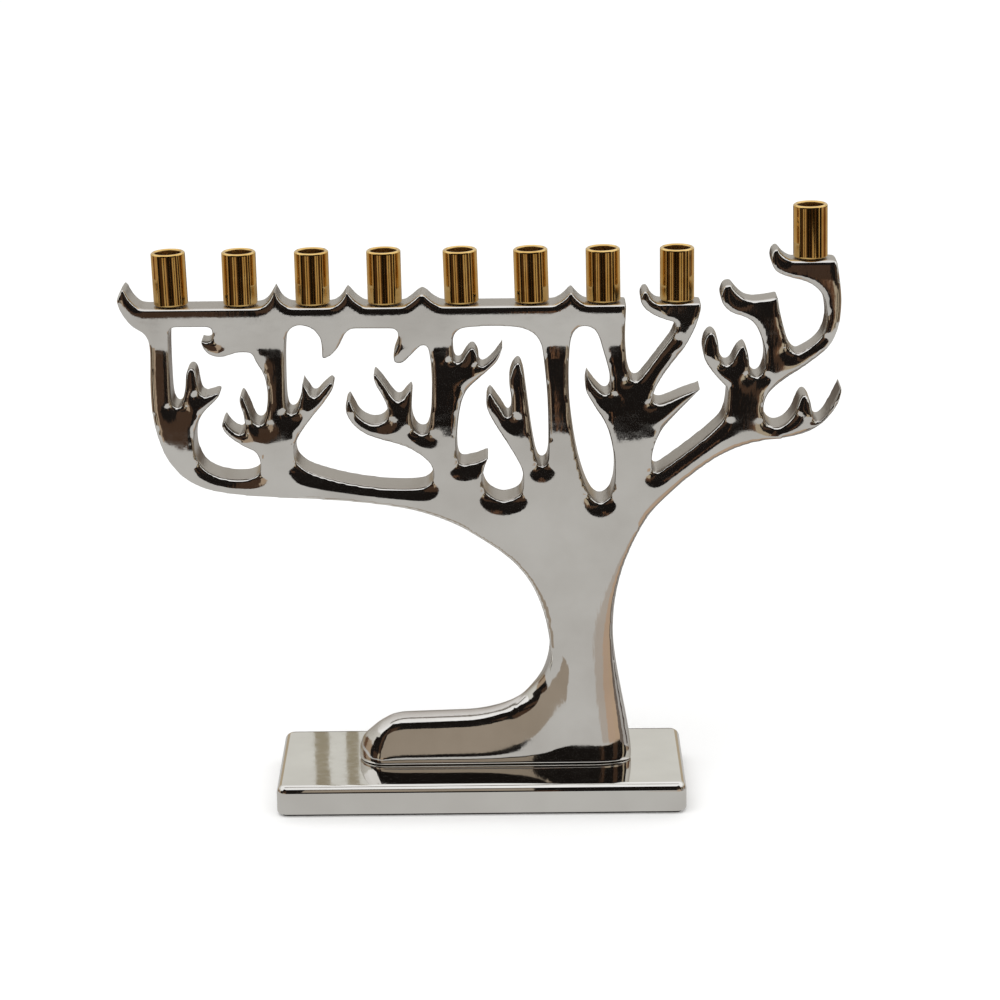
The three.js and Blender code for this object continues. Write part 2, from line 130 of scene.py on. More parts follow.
sky = bpy.data.worlds.new("sky")
sky.use_nodes = True
sky.node_tree.nodes["Background"].inputs["Color"].default_value = (1, 1, 1, 1)
sky.node_tree.nodes["Background"].inputs["Strength"].default_value = SKY_STRENGTH
bpy.context.scene.world = sky

softbox = bpy.data.lights.new("softbox", "AREA")
softbox.shape = "RECTANGLE"
softbox.size, softbox.size_y = SOFTBOX_SIZE
softbox.energy = SOFTBOX_POWER
softbox_object = bpy.data.objects.new("softbox", softbox)
softbox_object.location = SOFTBOX_PLACE
aim = Vector(SOFTBOX_AIM) - softbox_object.location
softbox_object.rotation_mode = "QUATERNION"
softbox_object.rotation_quaternion = aim.to_track_quat("-Z", "Y")
softbox_object.visible_glossy = False
bpy.context.scene.collection.objects.link(softbox_object)

# ---------------------------------------------------------------------------------------------
# What polished metal mirrors in a studio: a grey table top, and round it a low dark ring of room
# with lighter and warmer stretches. None of it is seen, and it lights nothing but reflections.
TABLE_GREY = (0.56, 0.55, 0.53)
RING_RADIUS = 0.6
RING_MIDDLE = 0.115         # height where its upper band starts
RING_STEP = 2               # degrees a facet
# Stretches of the ring anticlockwise from straight ahead of the menorah, seen from above: where
# each ends in degrees, how low it reaches, its colour below, its colour above and its top
BLACK = (0.010, 0.008, 0.007)
UMBER = (0.060, 0.034, 0.021)
SIENNA = (0.15, 0.075, 0.04)
TAN = (0.40, 0.30, 0.21)
OCHRE = (0.46, 0.38, 0.27)
TAUPE = (0.34, 0.285, 0.225)
RING_STRETCHES = [
    (2.4, 0.036, BLACK, BLACK, 0.45), (3.8, 0.036, SIENNA, BLACK, 0.45),
    (16, 0.036, BLACK, BLACK, 0.45), (18.5, 0.036, UMBER, UMBER, 0.45),
    (21, 0.036, SIENNA, UMBER, 0.45), (30, 0.020, OCHRE, BLACK, 0.45),
    (35, 0.020, BLACK, BLACK, 0.45), (44, 0.020, OCHRE, UMBER, 0.45),
    (60, 0.010, UMBER, BLACK, 0.45), (66, 0.010, OCHRE, OCHRE, 0.30),
    (78, 0.010, BLACK, BLACK, 0.30), (92, 0.010, TAN, TAN, 0.20),
    (112, 0.010, SIENNA, SIENNA, 0.20), (166, 0.010, OCHRE, OCHRE, 0.16),
    (194, 0.036, UMBER, UMBER, 0.16), (248, 0.010, OCHRE, OCHRE, 0.16),
    (262, 0.010, SIENNA, SIENNA, 0.20), (284, 0.010, TAN, TAN, 0.20),
    (296, 0.010, BLACK, BLACK, 0.30), (314, 0.010, UMBER, BLACK, 0.45),
    (322, 0.020, OCHRE, UMBER, 0.45), (327, 0.020, BLACK, BLACK, 0.45),
    (338, 0.020, TAN, UMBER, 0.45), (346, 0.036, UMBER, UMBER, 0.45),
    (360, 0.036, BLACK, BLACK, 0.45),
]
HIGH_DARK = (-62, 60, 0.45, 1.0)  # and over its front: from and to, in degrees, and its heights
FAR_RADIUS = 1.5            # a lower, wider ring closes the gap under the first
FAR_TOP = 0.16
BACKDROP_RADIUS = 2.6       # a pale wall all round stands behind both
BACKDROP_TOP = 1.7
BACKDROP_GREY = (0.70, 0.69, 0.645)
# A low warm card just in front of the foot: its ends, its heights and how far in front it stands
FOOT_CARD = (-0.075, 0.0215, 0.023, 0.060, -0.070)
# Two slim uprights on the ring behind the menorah, from and to in degrees, and their heights
BACK_UPRIGHTS = [(187.6, 188.3), (189.3, 190.1)]
UPRIGHT_HEIGHTS = (0.16, 0.60)
UPRIGHT_OLIVE = (0.33, 0.29, 0.21)
# Warmer and darker sectors of the table to the right: from and to in degrees, and colour
TABLE_PATCHES = [
    (9, 20, (0.47, 0.42, 0.37)), (20, 33, (0.50, 0.37, 0.27)), (33, 46, (0.50, 0.37, 0.26)),
    (46, 62, (0.16, 0.13, 0.11)), (62, 80, (0.42, 0.40, 0.38)), (80, 98, (0.10, 0.08, 0.07)),
]
TABLE_PATCH_REACH = (0.070, 0.27)
TABLE_PATCH_CENTRE = (0.056, 0, 0.0002)
TABLE_PATCH_STEPS = 4
TABLE_DROP = 0.0004         # the grey table lies this far under the floor


def upright_card(name, start, end, low, high, radius, colour):
    """A curved card from one bearing to another; bearing 0 is towards -Y, and grows to the right."""
    bm = bmesh.new()
    first = bm.verts.new((0, -radius, low))
    steps = max(1, round((end - start) / RING_STEP))
    bmesh.ops.rotate(bm, verts=[first], cent=(0, 0, 0),
                     matrix=Matrix.Rotation(math.radians(start), 3, "Z"))
    bmesh.ops.spin(bm, geom=[first], axis=(0, 0, 1), cent=(0, 0, 0), steps=steps,
                   angle=math.radians(end - start))
    rim = bmesh.ops.extrude_edge_only(bm, edges=bm.edges[:])
    bmesh.ops.translate(bm, vec=(0, 0, high - low),
                        verts=[v for v in rim["geom"] if isinstance(v, bmesh.types.BMVert)])
    card = keep_mesh(name, bm)
    card.data.materials.append(glow(name, colour))
    only_reflected(card)
    return card


table_mesh = bmesh.new()
bmesh.ops.create_grid(table_mesh, x_segments=1, y_segments=1, size=FLOOR_HALF)
bmesh.ops.translate(table_mesh, vec=(0, 0, -TABLE_DROP), verts=table_mesh.verts)
table = keep_mesh("table_grey", table_mesh)
table.data.materials.append(glow("table_grey", TABLE_GREY))
only_reflected(table)

start = 0
for number, (end, foot, colour, upper_colour, top) in enumerate(RING_STRETCHES, 1):
    upright_card(f"ring_{number}", start, end, foot, RING_MIDDLE, RING_RADIUS, colour)
    upright_card(f"ring_{number}_upper", start, end, RING_MIDDLE, top, RING_RADIUS, upper_colour)
    start = end
upright_card("high_dark", *HIGH_DARK, RING_RADIUS, BLACK)
upright_card("far_ring", 0, 360, 0, FAR_TOP, FAR_RADIUS, BLACK)
upright_card("backdrop", 0, 360, 0, BACKDROP_TOP, BACKDROP_RADIUS, BACKDROP_GREY)
for number, (start, end) in enumerate(BACK_UPRIGHTS, 1):
    upright_card(f"upright_{number}", start, end, *UPRIGHT_HEIGHTS, RING_RADIUS, UPRIGHT_OLIVE)

left, right, low, high, ahead = FOOT_CARD
bm = bmesh.new()
bmesh.ops.create_grid(bm, x_segments=1, y_segments=1, size=0.5)
bmesh.ops.scale(bm, vec=(right - left, high - low, 1), verts=bm.verts)
bmesh.ops.rotate(bm, verts=bm.verts, cent=(0, 0, 0), matrix=Matrix.Rotation(math.pi / 2, 3, "X"))
bmesh.ops.translate(bm, vec=((left + right) / 2, ahead, (low + high) / 2), verts=bm.verts)
foot_card = keep_mesh("foot_card", bm)
foot_card.data.materials.append(glow("foot_card", TAUPE))
only_reflected(foot_card)

for number, (start, end, colour) in enumerate(TABLE_PATCHES, 1):
    bm = bmesh.new()
    inner, outer = [bm.verts.new((0, -reach, 0)) for reach in TABLE_PATCH_REACH]
    edge = bm.edges.new((inner, outer))
    bmesh.ops.rotate(bm, verts=[inner, outer], cent=(0, 0, 0),
                     matrix=Matrix.Rotation(math.radians(start), 3, "Z"))
    bmesh.ops.spin(bm, geom=[inner, outer, edge], axis=(0, 0, 1), cent=(0, 0, 0),
                   steps=TABLE_PATCH_STEPS, angle=math.radians(end - start))
    bmesh.ops.translate(bm, vec=TABLE_PATCH_CENTRE, verts=bm.verts)
    patch = keep_mesh(f"table_patch_{number}", bm)
    patch.data.materials.append(glow(f"table_patch_{number}", colour))
    only_reflected(patch)

# ---------------------------------------------------------------------------------------------
# The tree is one sand casting in an aluminium and nickel bright alloy: trunk, branches, thorns,
# rail and rounded foot. It is fettled, polished by hand on its faces, and left a little rough
# on the walls of its openings.
VOXEL = 0.00102             # keeps the casting under 200,000 triangles
EASING = 3                  # passes that round every edge of the casting
HALF_DEPTHS = [             # height above the base plate, half the casting's depth there
    (0.000, 0.0101), (0.105, 0.0097), (0.138, 0.00945), (0.144, 0.0092), (0.150, 0.0089),
    (0.171, 0.0073), (0.176, 0.0072), (0.1885, 0.0076), (0.205, 0.0082), (0.240, 0.0081),
]
HOOK_HALF_DEPTHS = [        # and on the limb that carries the highest cup
    (0.144, 0.0092), (0.150, 0.0089), (0.178, 0.0073), (0.240, 0.0069),
]
HOOK_LEFT = (0.074, 0.084)  # where that limb takes over
SWAY = 0.0022               # the profile wanders up and down by this along the casting,
SWAY_TURNS = 120            # this many radians a metre,
SWAY_TOP = 0.176            # up to this height, where it fades out
SWAY_FADE = 0.020           # over this much,
LOWERED = 0.006             # and sits lower by this at the far left,
LOWERED_FROM = 0.06         # from this far left of the middle
LOWERED_RUN = 0.06          # over this much
# Near edges that face up and edges that face down, the polishing wheel rounds the face away: how
# far in from the edge, and what share of that it takes off
LIP = (0.0078, 0.14)
RAIL_LIP = (0.0017, 0.18)
BELLY = (0.0055, 0.10)
BELLY_TOP = 0.172           # height of the highest edge that has a belly
EDGE_BLUR = 0.0008          # how softly that starts beside an edge's ends
LIP_START = 0.100           # height above the base plate where lips begin
RAIL_HEIGHT = 0.189         # an edge higher than this is the rail's
WALL_LIMIT = 0.6            # a wall's normal leans forward less than this
EDGE_LIMIT = 0.5            # and an edge's wall faces up or down by more than this
END_ROUNDING = 0.016        # of the trunk's right side, seen from above
END_ROUNDING_TOP = 0.090    # height where that rounding has faded out
END_ROUNDING_SHARE = 0.65   # of the depth that it takes off at the very end
FOOT_HALF = 0.0105          # half the foot's depth where it is widest
RIDGE_LEAST = 0.004         # the ridge is never taken as lower than this
NOSE_LEAST = 0.02           # nor the square of the nose's share of the depth as less than this
# The foot's section: share of its ridge's height, share of its half depth
FOOT_SECTION = [
    (0.00, 0.985), (0.08, 1.00), (0.16, 0.985), (0.30, 0.92), (0.45, 0.845), (0.60, 0.76),
    (0.74, 0.67), (0.84, 0.585), (0.91, 0.48), (0.96, 0.35), (1.00, 0.15), (9.0, 0.15),
]
SHIN_LEFT = 0.0285          # x of the trunk's left side above the instep
SHIN_RISE = 9               # how steeply the ridge climbs away inside the trunk
ANKLE = (0.026, 0.050)      # heights over which the foot's section gives way to the trunk's
INSTEP = (0.019, 0.030)     # the middle of the bend between them, x and height
INSTEP_REACH = 0.022        # how far round it the surface is smoothed,
INSTEP_PASSES = 25          # in this many passes,
INSTEP_SHRINK = 0.6         # the last of which reach this share less far,
INSTEP_LOWEST = 0.011       # and nothing lower than this
NOSE = 0.0115               # how long the foot's nose is, seen from above
# Along the foot from its nose: how much of the blank's height the ridge keeps
NOSE_DROP = [(0.0, 0.72), (0.004, 0.76), (0.009, 0.87), (0.013, 0.96), (0.017, 1.0), (0.020, 1.0)]
SCREW_HOLE = 0.004          # nothing this near the mid-plane is an edge of the casting's face
COLUMN = 0.0015             # the ridge and the right side are measured in steps this wide

base_low, base_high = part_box("base_plate")
base_top = base_high.z


def merged_copy(node):
    """A bmesh of a CAD node with its loose triangles joined."""
    bm = bmesh.new()
    bm.from_mesh(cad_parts[node].data)
    bmesh.ops.remove_doubles(bm, verts=bm.verts, dist=1e-6)
    return bm


def applied(piece):
    """Puts a piece's modifiers into its mesh."""
    graph = bpy.context.evaluated_depsgraph_get()
    finished = bpy.data.meshes.new_from_object(piece.evaluated_get(graph))
    piece.modifiers.clear()
    old = piece.data
    piece.data = finished
    bpy.data.meshes.remove(old)
    return piece


def between(steps, place):
    """The value at a place on a ramp through (place, value) steps."""
    for (low, first), (high, second) in zip(steps, steps[1:]):
        if place <= high:
            return first + (second - first) * max(0.0, (place - low) / (high - low))
    return steps[-1][1]


tree = keep_mesh("tree", merged_copy("tree_casting"))
remesh = tree.modifiers.new("remesh", "REMESH")
remesh.mode = "VOXEL"
remesh.voxel_size = VOXEL
remesh.adaptivity = 0
applied(tree)

bm = bmesh.new()
bm.from_mesh(tree.data)
bm.normal_update()
surface = BVHTree.FromBMesh(bm)

right_side, left_side, ridge = {}, {}, {}
edges_up, edges_down = [], []
for vert in bm.verts:
    x, height = vert.co.x, vert.co.z - base_top
    level = round(height / COLUMN) * COLUMN
    right_side[level] = max(right_side.get(level, -1), x)
    left_side[level] = min(left_side.get(level, 1), x)
    if x < SHIN_LEFT and height < ANKLE[1]:
        column = round(x / COLUMN) * COLUMN
        ridge[column] = max(ridge.get(column, 0), height)
    if abs(vert.normal.y) < WALL_LIMIT and height > LIP_START and abs(vert.co.y) > SCREW_HOLE:
        if vert.normal.z > EDGE_LIMIT:
            edges_up.append(vert.co)
        if vert.normal.z < -EDGE_LIMIT:
            edges_down.append(vert.co)
right_side, left_side = sorted(right_side.items()), sorted(left_side.items())
ridge = sorted(ridge.items())
nose = ridge[0][0]
last_column, last_ridge = ridge[-1]
ridge.append((last_column + 1, last_ridge + SHIN_RISE))


def flat_tree(places):
    """A search tree of places, seen from the front."""
    finder = KDTree(len(places))
    for number, place in enumerate(places):
        finder.insert((place.x, 0, place.z), number)
    finder.balance()
    return finder


lips, bellies = flat_tree(edges_up), flat_tree(edges_down)


def wanted_half_depth(x, height):
    """Half the finished casting's depth at a place on its front."""
    fade_in = min(1, max(0, (SWAY_TOP - height) / SWAY_FADE))
    left = min(1, max(0, (-x - LOWERED_FROM) / LOWERED_RUN))
    sway = SWAY * math.sin(SWAY_TURNS * x + 1) + LOWERED * left
    half = between(HALF_DEPTHS, height + sway * fade_in)
    hook = min(1, max(0, (x - HOOK_LEFT[0]) / (HOOK_LEFT[1] - HOOK_LEFT[0])))
    if height > HOOK_HALF_DEPTHS[0][0]:
        half += (between(HOOK_HALF_DEPTHS, height + sway * fade_in) - half) * hook
    if height < ANKLE[1]:
        ankle = min(1, max(0, (height - ANKLE[0]) / (ANKLE[1] - ANKLE[0])))
        foot = FOOT_HALF * between(FOOT_SECTION, height / max(between(ridge, x), RIDGE_LEAST))
        past = (x - between(left_side, height)) / NOSE
        if past < 1:
            foot *= math.sqrt(max(NOSE_LEAST, 1 - (1 - past) ** 2))
        half = foot + (half - foot) * ankle
    fade = 1 - height / END_ROUNDING_TOP
    run = (between(right_side, height) - x) / END_ROUNDING
    if fade > 0 and run < 1:
        half *= 1 - fade * END_ROUNDING_SHARE * (1 - math.sqrt(max(0.0, 1 - (1 - run) ** 2)))
    if height > LIP_START - LIP[0]:
        place = Vector((x, 0, height + base_top))
        edge, _, away = lips.find(place)
        reach, fall = RAIL_LIP if edge.z - base_top > RAIL_HEIGHT and edge.x < HOOK_LEFT[0] else LIP
        under = min(1, max(0, (edge.z - place.z + EDGE_BLUR) / max(away, EDGE_BLUR)))
        half -= under * fall * reach * max(0, 1 - away / reach) ** 2
        edge, _, away = bellies.find(place)
        reach, fall = BELLY
        over = min(1, max(0, (place.z - edge.z + EDGE_BLUR) / max(away, EDGE_BLUR)))
        if edge.z - base_top < BELLY_TOP:
            half -= over * fall * reach * max(0, 1 - away / reach) ** 2
    return half


depths = []
for vert in bm.verts:
    inside = Vector((vert.co.x - vert.normal.x * VOXEL / 2, 0,
                     vert.co.z - vert.normal.z * VOXEL / 2))
    half = wanted_half_depth(vert.co.x, vert.co.z - base_top)
    side = Vector((0, math.copysign(1, vert.co.y), 0))
    hit = surface.ray_cast(inside + side, -side)[0]
    share = min(1, vert.co.y / hit.y) if hit and hit.y * vert.co.y > 0 else 1
    depths.append(math.copysign(half * share, vert.co.y))
for vert, depth in zip(bm.verts, depths):
    vert.co.y = depth
    height = vert.co.z - base_top
    if vert.co.x < nose + NOSE_DROP[-1][0] and height < ANKLE[1]:
        vert.co.z = base_top + height * between(NOSE_DROP, vert.co.x - nose)
for step in range(INSTEP_PASSES):
    reach = INSTEP_REACH * (1 - INSTEP_SHRINK * step / INSTEP_PASSES)
    near = [v for v in bm.verts
            if math.hypot(v.co.x - INSTEP[0], v.co.z - base_top - INSTEP[1]) < reach
            and v.co.z - base_top > INSTEP_LOWEST]
    bmesh.ops.smooth_vert(bm, verts=near, factor=0.5, use_axis_x=True, use_axis_y=True,
                          use_axis_z=True)
for _ in range(EASING):
    bmesh.ops.smooth_vert(bm, verts=bm.verts, factor=0.5, use_axis_x=True, use_axis_y=True,
                          use_axis_z=True)
for face in bm.faces:
    face.smooth = True
bm.to_mesh(tree.data)
bm.free()


def polished_casting():
    """Hand-polished bright casting: soft waves, fine brushed streaks and duller, rougher walls."""
    material, nodes, links, principled = shader("polished_casting")
    place = nodes.new("ShaderNodeTexCoord").outputs["Object"]

    def noise(scale, detail, stretch=(1, 1, 1)):
        mapping = nodes.new("ShaderNodeMapping")
        mapping.inputs["Scale"].default_value = stretch
        links.new(place, mapping.inputs["Vector"])
        texture = nodes.new("ShaderNodeTexNoise")
        texture.inputs["Scale"].default_value = scale
        texture.inputs["Detail"].default_value = detail
        links.new(mapping.outputs["Vector"], texture.inputs["Vector"])
        return texture.outputs["Fac"]

    def spread(value, low, high, to_low, to_high):
        node = nodes.new("ShaderNodeMapRange")
        node.inputs["From Min"].default_value = low
        node.inputs["From Max"].default_value = high
        node.inputs["To Min"].default_value = to_low
        node.inputs["To Max"].default_value = to_high
        links.new(value, node.inputs["Value"])
        return node.outputs["Result"]

    def bump(height, strength, distance, below=None):
        node = nodes.new("ShaderNodeBump")
        node.inputs["Strength"].default_value = strength
        node.inputs["Distance"].default_value = distance
        links.new(height, node.inputs["Height"])
        if below is not None:
            links.new(below, node.inputs["Normal"])
        return node.outputs["Normal"]

    facing = nodes.new("ShaderNodeNewGeometry").outputs["Normal"]
    apart = nodes.new("ShaderNodeSeparateXYZ")
    links.new(facing, apart.inputs["Vector"])
    turned = nodes.new("ShaderNodeMath")
    turned.operation = "ABSOLUTE"
    links.new(apart.outputs["Y"], turned.inputs[0])
    wall = spread(turned.outputs["Value"], 0.2, 0.7, 1.0, 0.0)

    tone = nodes.new("ShaderNodeMix")
    tone.data_type = "RGBA"
    tone.inputs["A"].default_value = (0.80, 0.785, 0.76, 1)
    tone.inputs["B"].default_value = (0.70, 0.68, 0.65, 1)
    links.new(spread(noise(38, 3), 0.35, 0.7, 0, 1), tone.inputs["Factor"])
    skin = nodes.new("ShaderNodeMix")
    skin.data_type = "RGBA"
    links.new(wall, skin.inputs["Factor"])
    links.new(tone.outputs["Result"], skin.inputs["A"])
    skin.inputs["B"].default_value = (0.40, 0.365, 0.33, 1)
    links.new(skin.outputs["Result"], principled.inputs["Base Color"])

    face_rough = spread(noise(120, 4, (1, 1, 3)), 0.3, 0.75, 0.035, 0.10)
    rough = nodes.new("ShaderNodeMix")
    links.new(wall, rough.inputs["Factor"])
    links.new(face_rough, rough.inputs["A"])
    rough.inputs["B"].default_value = 0.3
    links.new(rough.outputs["Result"], principled.inputs["Roughness"])
    principled.inputs["Metallic"].default_value = 1.0

    waves = bump(noise(45, 2), 0.35, 0.0003)
    streaks = bump(noise(450, 3, (1.6, 1, 0.45)), 0.8, 0.00003, waves)
    grain = nodes.new("ShaderNodeMath")
    grain.operation = "MULTIPLY"
    links.new(noise(700, 3), grain.inputs[0])
    links.new(wall, grain.inputs[1])
    rough_walls = bump(grain.outputs["Value"], 0.8, 0.00012, streaks)
    links.new(rough_walls, principled.inputs["Normal"])
    return material


tree.data.materials.clear()
tree.data.materials.append(polished_casting())
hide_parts("tree_casting")
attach(tree, "root")

# ---------------------------------------------------------------------------------------------
# The cups are turned from brass bar, drilled for a 10 mm candle, chamfered at rim and foot, and
# buffed bright. Each is held by a screw through its floor, and each leans a little on its seat.
CUP_LEANS = [-1.6, -0.6, -0.5, -0.6, -1.4, -1.4, -0.7, -0.2]
SHAMASH_LEAN = -0.9
CUP_BORE = 0.0105
CUP_WALL = 0.00155
CUP_HEIGHT = 0.0213
CUP_FLOOR = 0.003
CUP_CHAMFER = 0.0005
CUP_HOLE = 0.0046
CUP_SIDES = 128
CUP_EASE = 0.00012          # the turned edges are broken by this
CUP_CORNER = 30             # an edge that turns by more than this, in degrees, is broken
CUP_SHARP = 50              # and one that still turns by more than this stays sharp


def spun(profile, sides):
    """A body turned about Z from a closed profile of (radius, height) points."""
    bm = bmesh.new()
    ring = [bm.verts.new((radius, 0, height)) for radius, height in profile]
    edges = [bm.edges.new(pair) for pair in zip(ring, ring[1:] + ring[:1])]
    bmesh.ops.spin(bm, geom=ring + edges, axis=(0, 0, 1), cent=(0, 0, 0), steps=sides,
                   angle=2 * math.pi, use_merge=True)
    bmesh.ops.remove_doubles(bm, verts=bm.verts, dist=1e-7)
    bmesh.ops.dissolve_degenerate(bm, edges=bm.edges, dist=1e-7)
    bmesh.ops.recalc_face_normals(bm, faces=bm.faces)
    for face in bm.faces:
        face.smooth = True
    return bm


def sharpened(bm, degrees):
    """Marks the edges that turn by more than an angle as sharp."""
    for edge in bm.edges:
        if len(edge.link_faces) == 2:
            edge.smooth = edge.calc_face_angle(0) < math.radians(degrees)
    return bm


def turned_brass(name, dark, bright, glossiest, dullest):
    """Turned brass with fine rings round its axis and a faint tarnish between two tones."""
    material, nodes, links, principled = shader(name)
    place = nodes.new("ShaderNodeTexCoord").outputs["Object"]
    tarnish = nodes.new("ShaderNodeTexNoise")
    tarnish.inputs["Scale"].default_value = 160
    tarnish.inputs["Detail"].default_value = 3
    links.new(place, tarnish.inputs["Vector"])
    tone = nodes.new("ShaderNodeValToRGB")
    tone.color_ramp.elements[0].position = 0.35
    tone.color_ramp.elements[0].color = (*dark, 1)
    tone.color_ramp.elements[1].position = 0.68
    tone.color_ramp.elements[1].color = (*bright, 1)
    links.new(tarnish.outputs["Fac"], tone.inputs["Fac"])
    links.new(tone.outputs["Color"], principled.inputs["Base Color"])
    principled.inputs["Metallic"].default_value = 1.0
    rings = nodes.new("ShaderNodeTexNoise")
    stretch = nodes.new("ShaderNodeMapping")
    stretch.inputs["Scale"].default_value = (0.02, 0.02, 1)
    links.new(place, stretch.inputs["Vector"])
    links.new(stretch.outputs["Vector"], rings.inputs["Vector"])
    rings.inputs["Scale"].default_value = 5200
    rings.inputs["Detail"].default_value = 2
    gloss = nodes.new("ShaderNodeMapRange")
    gloss.inputs["To Min"].default_value = glossiest
    gloss.inputs["To Max"].default_value = dullest
    links.new(tarnish.outputs["Fac"], gloss.inputs["Value"])
    links.new(gloss.outputs["Result"], principled.inputs["Roughness"])
    bump = nodes.new("ShaderNodeBump")
    bump.inputs["Strength"].default_value = 0.15
    bump.inputs["Distance"].default_value = 0.000004
    links.new(rings.outputs["Fac"], bump.inputs["Height"])
    links.new(bump.outputs["Normal"], principled.inputs["Normal"])
    return material


brass = turned_brass("turned_brass", (0.72, 0.46, 0.15), (0.86, 0.61, 0.25), 0.04, 0.10)
# Inside the bore the brass is rougher from the drill, and its two tones are darker: painted shade
# inside the bore
bore_brass_painted_shade = turned_brass("bore_brass_painted_shade", (0.46, 0.29, 0.11), (0.60, 0.41, 0.18), 0.22, 0.36)
cup_outer = CUP_BORE / 2 + CUP_WALL
cup_bore = CUP_BORE / 2
cup_profile = [
    (CUP_HOLE / 2, 0), (cup_outer - CUP_CHAMFER, 0), (cup_outer, CUP_CHAMFER),
    (cup_outer, 2 * CUP_CHAMFER), (cup_outer, CUP_HEIGHT - 2 * CUP_CHAMFER),
    (cup_outer, CUP_HEIGHT - CUP_CHAMFER), (cup_outer - CUP_CHAMFER, CUP_HEIGHT),
    (cup_bore + CUP_CHAMFER, CUP_HEIGHT), (cup_bore, CUP_HEIGHT - CUP_CHAMFER),
    (cup_bore, CUP_HEIGHT - 2 * CUP_CHAMFER), (cup_bore, CUP_FLOOR), (CUP_HOLE / 2, CUP_FLOOR),
]
cups = [(f"candle_cup_{i}", f"cup_screw_{i}", lean) for i, lean in enumerate(CUP_LEANS, 1)]
cups.append(("shamash_cup", "shamash_cup_screw", SHAMASH_LEAN))


def seat_of(cup, lean):
    """The turn and place of a cup's foot, from its CAD box and its lean."""
    low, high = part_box(cup)
    turn = Matrix.Rotation(math.radians(lean), 4, "Y")
    foot = (low + high) / 2 - turn @ Vector((0, 0, CUP_HEIGHT / 2))
    return Matrix.Translation(foot) @ turn


for cup_node, _, lean in cups:
    bm = sharpened(spun(cup_profile, CUP_SIDES), CUP_CORNER)
    bmesh.ops.bevel(bm, geom=[e for e in bm.edges if not e.smooth], offset=CUP_EASE,
                    segments=2, profile=0.5, affect="EDGES", material=-1)
    for edge in bm.edges:
        edge.smooth = True
    sharpened(bm, CUP_SHARP)
    # faces inside the bore take the darker brass, which is painted shade
    for face in bm.faces:
        middle = face.calc_center_median()
        if middle.xy.length < cup_bore + CUP_CHAMFER / 4 and CUP_CHAMFER < middle.z:
            face.material_index = 1
    bmesh.ops.transform(bm, matrix=seat_of(cup_node, lean), verts=bm.verts)
    cup = keep_mesh(cup_node + "_turned", bm)
    cup.data.materials.append(brass)
    cup.data.materials.append(bore_brass_painted_shade)
    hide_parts(cup_node)
    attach(cup, "root")

# ---------------------------------------------------------------------------------------------
# The cup screws are zinc-plated steel, M4 with a slotted cheese head, driven down through the
# cup's floor into the casting.
def plated_steel():
    """Zinc-plated steel: a greyish sheen with fine scuffs."""
    material, nodes, links, principled = shader("plated_steel")
    place = nodes.new("ShaderNodeTexCoord").outputs["Object"]
    scuffs = nodes.new("ShaderNodeTexNoise")
    scuffs.inputs["Scale"].default_value = 1400
    scuffs.inputs["Detail"].default_value = 4
    links.new(place, scuffs.inputs["Vector"])
    tone = nodes.new("ShaderNodeValToRGB")
    tone.color_ramp.elements[0].color = (0.36, 0.37, 0.38, 1)
    tone.color_ramp.elements[1].color = (0.62, 0.62, 0.61, 1)
    links.new(scuffs.outputs["Fac"], tone.inputs["Fac"])
    links.new(tone.outputs["Color"], principled.inputs["Base Color"])
    gloss = nodes.new("ShaderNodeMapRange")
    gloss.inputs["To Min"].default_value = 0.22
    gloss.inputs["To Max"].default_value = 0.45
    links.new(scuffs.outputs["Fac"], gloss.inputs["Value"])
    links.new(gloss.outputs["Result"], principled.inputs["Roughness"])
    principled.inputs["Metallic"].default_value = 1.0
    bump = nodes.new("ShaderNodeBump")
    bump.inputs["Strength"].default_value = 0.4
    bump.inputs["Distance"].default_value = 0.00002
    links.new(scuffs.outputs["Fac"], bump.inputs["Height"])
    links.new(bump.outputs["Normal"], principled.inputs["Normal"])
    return material


steel = plated_steel()
for _, screw_node, _ in cups:
    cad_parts[screw_node].data.materials.clear()
    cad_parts[screw_node].data.materials.append(steel)

# ---------------------------------------------------------------------------------------------
# The base plate is cut from bright polished plate, its corners and edges eased. The real plate has
# two recesses underneath for the screws that hold the tree; this one is left solid there, where
# the felt covers it.
BASE_CORNER = 0.0042        # has to stay larger than the top edge and the border together
BASE_TOP_EDGE = 0.0031
BASE_FOOT_EDGE = 0.0010
BASE_INSET = 0.0004         # a narrow border keeps the flats mirror flat
BASE_SEGMENTS = 6

base_size = base_high - base_low
bm = bmesh.new()
bmesh.ops.create_cube(bm, size=1)
bmesh.ops.scale(bm, vec=base_size, verts=bm.verts)
bmesh.ops.translate(bm, vec=(base_low + base_high) / 2, verts=bm.verts)
upright = [e for e in bm.edges if abs(e.verts[0].co.z - e.verts[1].co.z) > base_size.z / 2]
bmesh.ops.bevel(bm, geom=upright, offset=BASE_CORNER, segments=BASE_SEGMENTS,
                profile=0.5, affect="EDGES", material=-1)
for level, radius in ((base_high.z, BASE_TOP_EDGE), (base_low.z, BASE_FOOT_EDGE)):
    rim = [e for e in bm.edges if all(abs(v.co.z - level) < 1e-6 for v in e.verts)]
    bmesh.ops.bevel(bm, geom=rim, offset=radius, segments=BASE_SEGMENTS, profile=0.5,
                    affect="EDGES", material=-1)
flats = [f for f in bm.faces if abs(f.normal.z) > 0.999]
bmesh.ops.inset_individual(bm, faces=flats, thickness=BASE_INSET, use_even_offset=True)
for face in bm.faces:
    face.smooth = True
base = keep_mesh("base_plate_polished", bm)
weighted = base.modifiers.new("flats", "WEIGHTED_NORMAL")
weighted.keep_sharp = True


